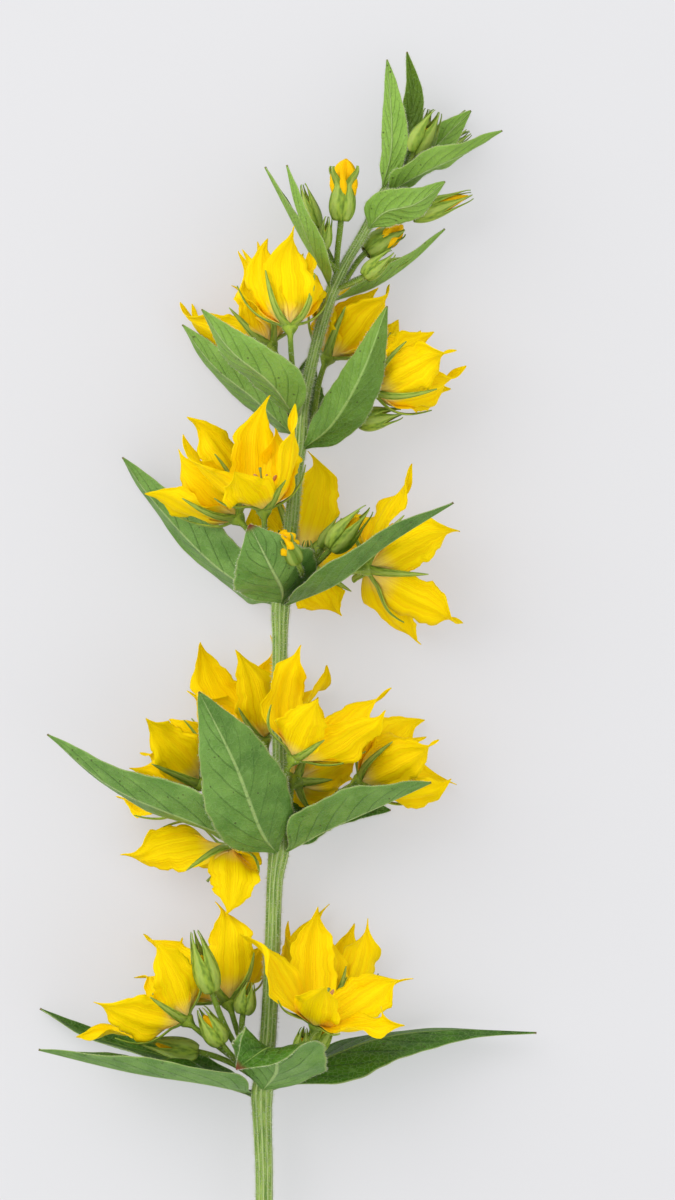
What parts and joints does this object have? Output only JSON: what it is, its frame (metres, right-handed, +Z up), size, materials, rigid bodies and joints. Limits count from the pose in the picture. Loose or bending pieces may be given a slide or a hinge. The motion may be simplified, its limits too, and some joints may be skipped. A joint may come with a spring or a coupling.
{
  "type": "yellow loosestrife stem",
  "caption": "Cut flowering stem of yellow loosestrife lying down, with whorled leaves, star-shaped yellow flowers and green buds.",
  "frame": {"origin": "under the middle of the bounding box, on the surface the stem lies on", "axes": "+Y along the stem from the cut end to the tip, +Z up off the surface, +X to the right as seen from above with the tip away from the viewer"},
  "size_m": [0.0898, 0.213, 0.036],
  "materials": {
    "stem": "matte",
    "leaf": "satin",
    "calyx": "matte",
    "petal": "matte"
  },
  "bodies": {
    "root": {"corolla_1_left": "petal", "corolla_1_middle": "petal", "corolla_1_right_back": "petal", "corolla_1_right_front": "petal", "corolla_2_front": "petal", "corolla_2_left": "petal", "corolla_2_low": "petal", "corolla_2_right": "petal", "corolla_2_under": "petal", "corolla_2_upper_left": "petal", "corolla_3_behind": "petal", "corolla_3_left_back": "petal", "corolla_3_left_front": "petal", "corolla_3_right": "petal", "corolla_4_left_back": "petal", "corolla_4_left_front": "petal", "corolla_4_right_back": "petal", "corolla_4_right_front": "petal", "flower_stalks_1_left": "calyx", "flower_stalks_1_right": "calyx", "flower_stalks_2_front": "calyx", "flower_stalks_2_left": "calyx", "flower_stalks_2_right": "calyx", "flower_stalks_3_back": "calyx", "flower_stalks_3_left": "calyx", "flower_stalks_3_right": "calyx", "flower_stalks_4_left": "calyx", "flower_stalks_4_right": "calyx", "flower_stalks_5_left": "calyx", "flower_stalks_5_right": "calyx", "flower_stalks_6_right": "calyx", "flower_stalks_7_right": "calyx", "leaf_1_front": "leaf", "leaf_1_left_back": "leaf", "leaf_1_left_front": "leaf", "leaf_1_right": "leaf", "leaf_2_back_right": "leaf", "leaf_2_front": "leaf", "leaf_2_left": "leaf", "leaf_2_right": "leaf", "leaf_3_front": "leaf", "leaf_3_left": "leaf", "leaf_3_right": "leaf", "leaf_4_back": "leaf", "leaf_4_left_lower": "leaf", "leaf_4_left_upper": "leaf", "leaf_4_right": "leaf", "leaf_5_left_back": "leaf", "leaf_5_left_front": "leaf", "leaf_5_right": "leaf", "leaf_6_right": "leaf", "leaf_7_back": "leaf", "leaf_7_left": "leaf", "leaf_7_middle": "leaf", "leaf_7_right": "leaf", "stem": "stem"}
  },
  "joints": []
}
